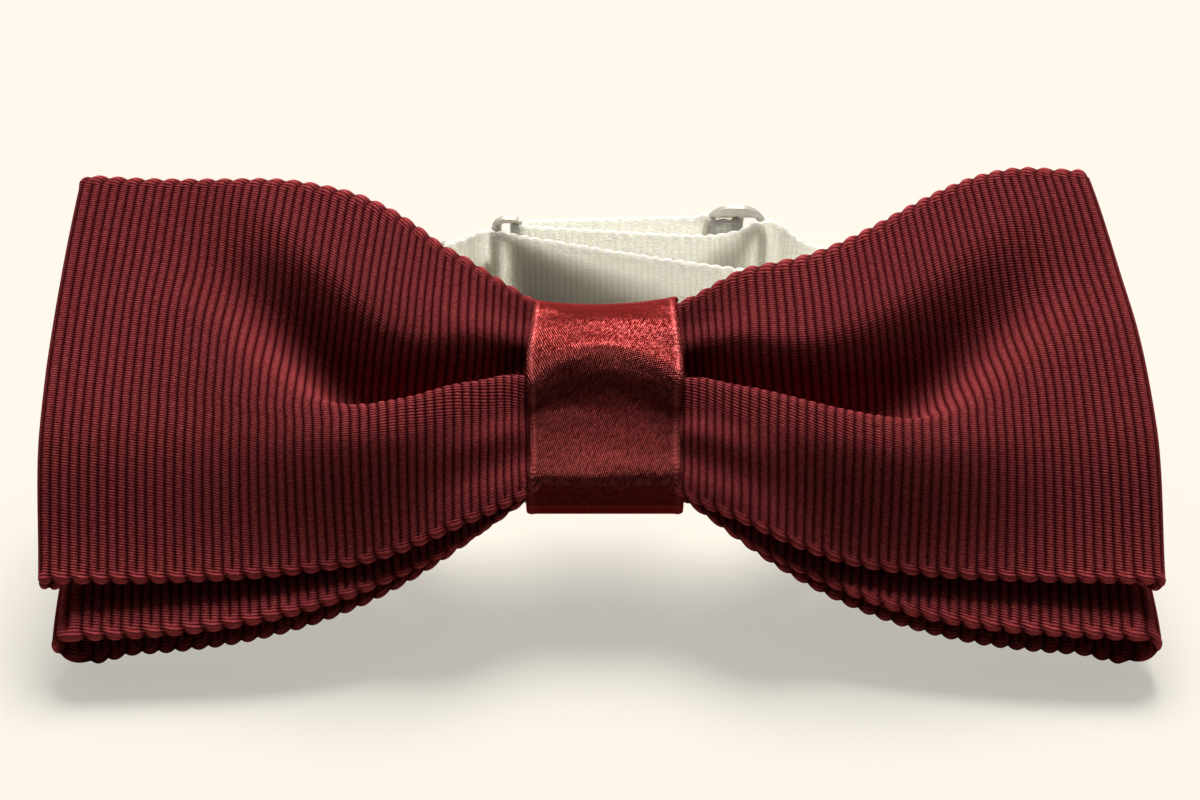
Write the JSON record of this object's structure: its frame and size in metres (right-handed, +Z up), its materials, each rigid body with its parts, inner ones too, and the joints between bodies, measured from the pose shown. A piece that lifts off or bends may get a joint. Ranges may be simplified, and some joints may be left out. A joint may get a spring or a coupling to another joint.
{
  "type": "bow tie",
  "caption": "Pre-tied bow tie: two stacked grosgrain ribbon bows held by a satin knot, on an ivory neck band with a slide adjuster, a hook and an eye.",
  "frame": {"origin": "centre of the bounding box's underside, on the surface that the bow tie stands on", "axes": "+X along the bow from fold to fold, to the right as seen from the front; -Y to the front of the bow; +Z up"},
  "size_m": [0.12, 0.075, 0.0356],
  "materials": {
    "burgundy_grosgrain": "ribbed grosgrain ribbon",
    "burgundy_satin": "satin ribbon",
    "thread": "sewing thread",
    "ivory_grosgrain": "ribbed grosgrain ribbon",
    "ivory_thread": "sewing thread",
    "bright_metal": "polished plate"
  },
  "bodies": {
    "bow": {"front_bow": "burgundy_grosgrain", "back_bow": "burgundy_grosgrain", "binding_thread": "thread", "knot_wrap": "burgundy_satin", "knot_tack": "thread", "neck_band": "ivory_grosgrain", "eye_tack": "ivory_thread", "adjuster_return": "ivory_grosgrain"},
    "adjuster": {"slider": "bright_metal", "adjuster_end": "ivory_grosgrain", "slider_tack": "ivory_thread"},
    "hook": {"hook": "bright_metal"},
    "eye": {"eye_ring": "bright_metal"}
  },
  "joints": [
    {"name": "adjuster_slide", "type": "slide", "parent": "bow", "child": "adjuster", "axis": [-1, 0, 0], "range_m": [0, 0.014], "deforming": ["adjuster_return"]},
    {"name": "hook_swing", "type": "hinge", "parent": "bow", "child": "hook", "pos_m": [-0.0109, 0.03409, 0.008], "axis": [0, 0, -1], "range_deg": [0, 60]},
    {"name": "eye_swing", "type": "hinge", "parent": "bow", "child": "eye", "pos_m": [0.0315, 0.01729, 0.008], "axis": [0, 0, 1], "range_deg": [-45, 45]}
  ]
}
